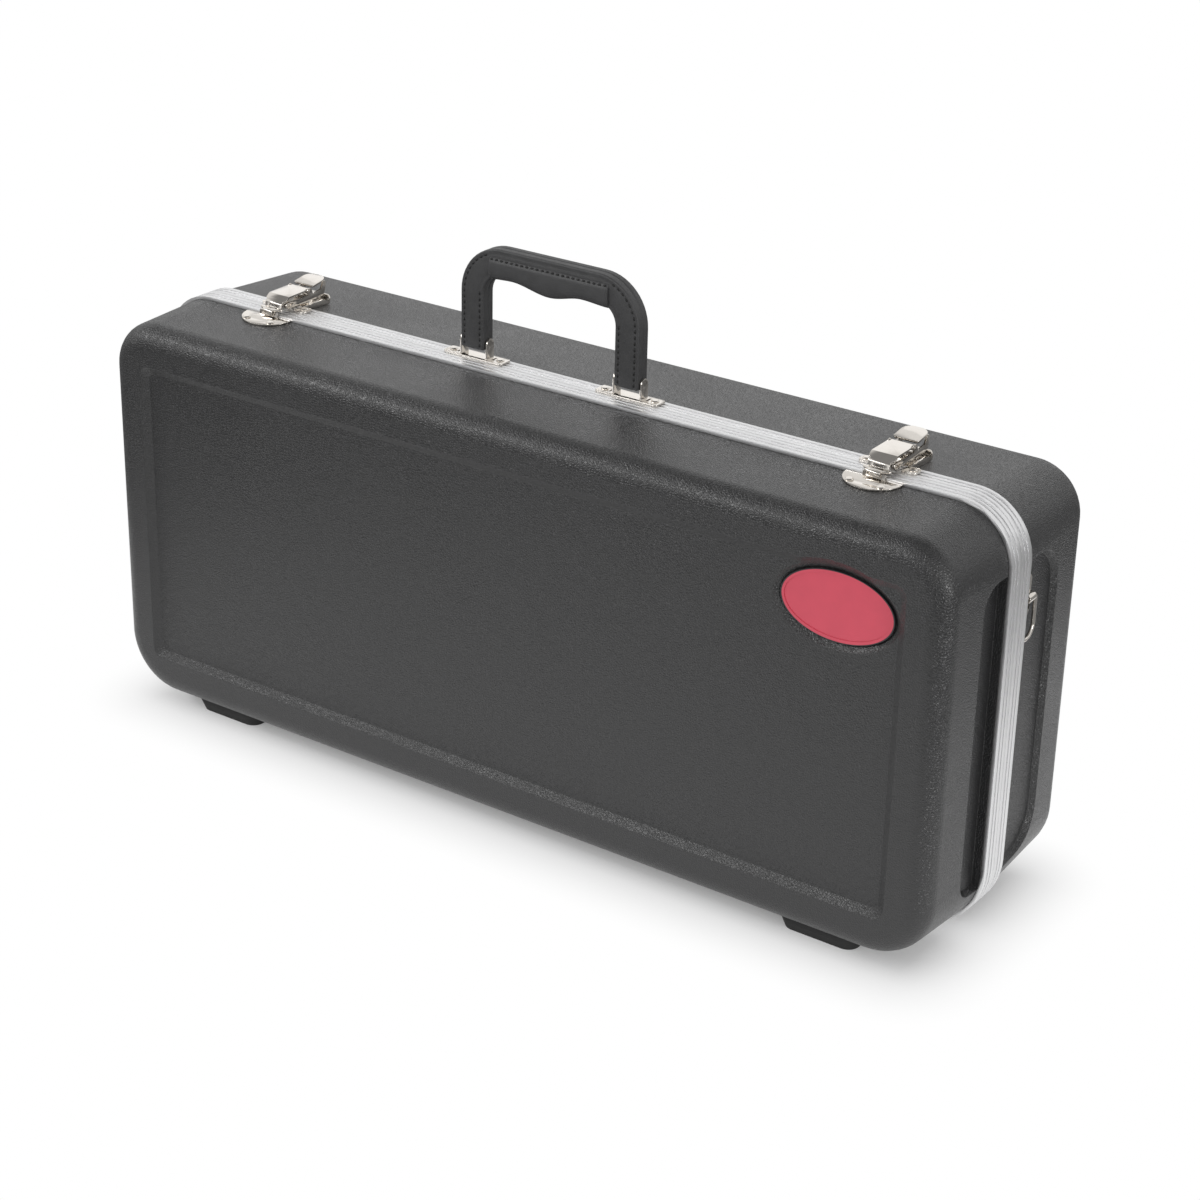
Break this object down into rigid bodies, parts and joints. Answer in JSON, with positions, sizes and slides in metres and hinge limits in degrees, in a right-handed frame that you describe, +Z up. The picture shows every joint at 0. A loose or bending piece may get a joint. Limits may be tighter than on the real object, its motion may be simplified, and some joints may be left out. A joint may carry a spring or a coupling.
{
  "type": "saxophone case",
  "caption": "Hard-shell alto saxophone case with a hinged lid, aluminium valance, draw latches, swinging handle, strap rings and fitted plush lining.",
  "frame": {"origin": "centre of the case's box, at the level that its feet stand on", "axes": "+X along the length towards the badge end, -Y towards the lid, +Z up towards the handle"},
  "size_m": [0.6546, 0.175, 0.3655],
  "materials": {
    "badge_red": "gloss red",
    "plush_lining": "short plush on foam",
    "foot_rubber": "matte",
    "screw_steel": "plain",
    "shell_plastic": "fine leather grain",
    "valance_aluminium": "satin extrusion",
    "nickel": "polished nickel plate",
    "handle_leather": "grained, stitched"
  },
  "bodies": {
    "base": {"base_liner": "plush_lining", "foot_rear_left": "foot_rubber", "foot_rear_right": "foot_rubber", "foot_screws_rear": "screw_steel", "handle_bracket_left": "nickel", "handle_bracket_right": "nickel", "handle_bracket_rivets": "nickel", "handle_pin_left": "nickel", "handle_pin_right": "nickel", "hinge_leaf_rear_left": "nickel", "hinge_leaf_rear_right": "nickel", "hinge_pin_left": "screw_steel", "hinge_pin_right": "screw_steel", "hinge_rivets_rear": "nickel", "latch_base_left": "nickel", "latch_base_right": "nickel", "latch_base_rivets": "nickel", "latch_lever_pin_left": "nickel", "latch_lever_pin_right": "nickel", "rear_shell": "shell_plastic", "rear_valance": "valance_aluminium", "strap_plate_left": "nickel", "strap_plate_right": "nickel", "strap_plate_rivets": "nickel"},
    "lid": {"front_shell": "shell_plastic", "front_valance": "valance_aluminium", "lid_liner": "plush_lining", "badge": "badge_red", "keeper_left": "nickel", "keeper_right": "nickel", "keeper_rivets": "nickel", "hinge_leaf_front_left": "nickel", "hinge_leaf_front_right": "nickel", "hinge_rivets_front": "nickel", "foot_front_left": "foot_rubber", "foot_front_right": "foot_rubber", "foot_screws_front": "screw_steel"},
    "handle": {"handle_core": "screw_steel", "handle_cover": "handle_leather", "handle_grip": "handle_leather"},
    "latch_lever_left_body": {"latch_lever_left": "nickel", "hook_pin_left": "nickel"},
    "latch_hook_left_body": {"latch_hook_left": "nickel"},
    "strap_ring_left_body": {"strap_ring_left": "nickel"},
    "latch_lever_right_body": {"latch_lever_right": "nickel", "hook_pin_right": "nickel"},
    "latch_hook_right_body": {"latch_hook_right": "nickel"},
    "strap_ring_right_body": {"strap_ring_right": "nickel"}
  },
  "joints": [
    {"name": "lid_hinge", "type": "hinge", "parent": "base", "child": "lid", "pos_m": [0, -0.01075, 0.0042], "axis": [1, 0, 0], "range_deg": [0, 110]},
    {"name": "handle_swing", "type": "hinge", "parent": "base", "child": "handle", "pos_m": [-0.012, -0.0046, 0.299], "axis": [-1, 0, 0], "range_deg": [-85, 85]},
    {"name": "latch_lever_left_pivot", "type": "hinge", "parent": "base", "child": "latch_lever_left_body", "pos_m": [-0.2345, -0.01425, 0.293], "axis": [1, 0, 0], "range_deg": [0, 110]},
    {"name": "latch_hook_left_pivot", "type": "hinge", "parent": "latch_lever_left_body", "child": "latch_hook_left_body", "pos_m": [-0.2345, 0.00805, 0.2977], "axis": [1, 0, 0], "range_deg": [-110, 0]},
    {"name": "strap_ring_left_swing", "type": "hinge", "parent": "base", "child": "strap_ring_left_body", "pos_m": [-0.3223, 0.01285, 0.222], "axis": [0, 1, 0], "range_deg": [0, 150]},
    {"name": "latch_lever_right_pivot", "type": "hinge", "parent": "base", "child": "latch_lever_right_body", "pos_m": [0.2345, -0.01425, 0.293], "axis": [1, 0, 0], "range_deg": [0, 110]},
    {"name": "latch_hook_right_pivot", "type": "hinge", "parent": "latch_lever_right_body", "child": "latch_hook_right_body", "pos_m": [0.2345, 0.00805, 0.2977], "axis": [1, 0, 0], "range_deg": [-110, 0]},
    {"name": "strap_ring_right_swing", "type": "hinge", "parent": "base", "child": "strap_ring_right_body", "pos_m": [0.3223, 0.01285, 0.222], "axis": [0, -1, 0], "range_deg": [0, 150]}
  ],
  "couplings": [
    {"joint": "latch_hook_left_pivot", "follows": "latch_lever_left_pivot", "ratio": -1},
    {"joint": "latch_hook_right_pivot", "follows": "latch_lever_right_pivot", "ratio": -1}
  ]
}
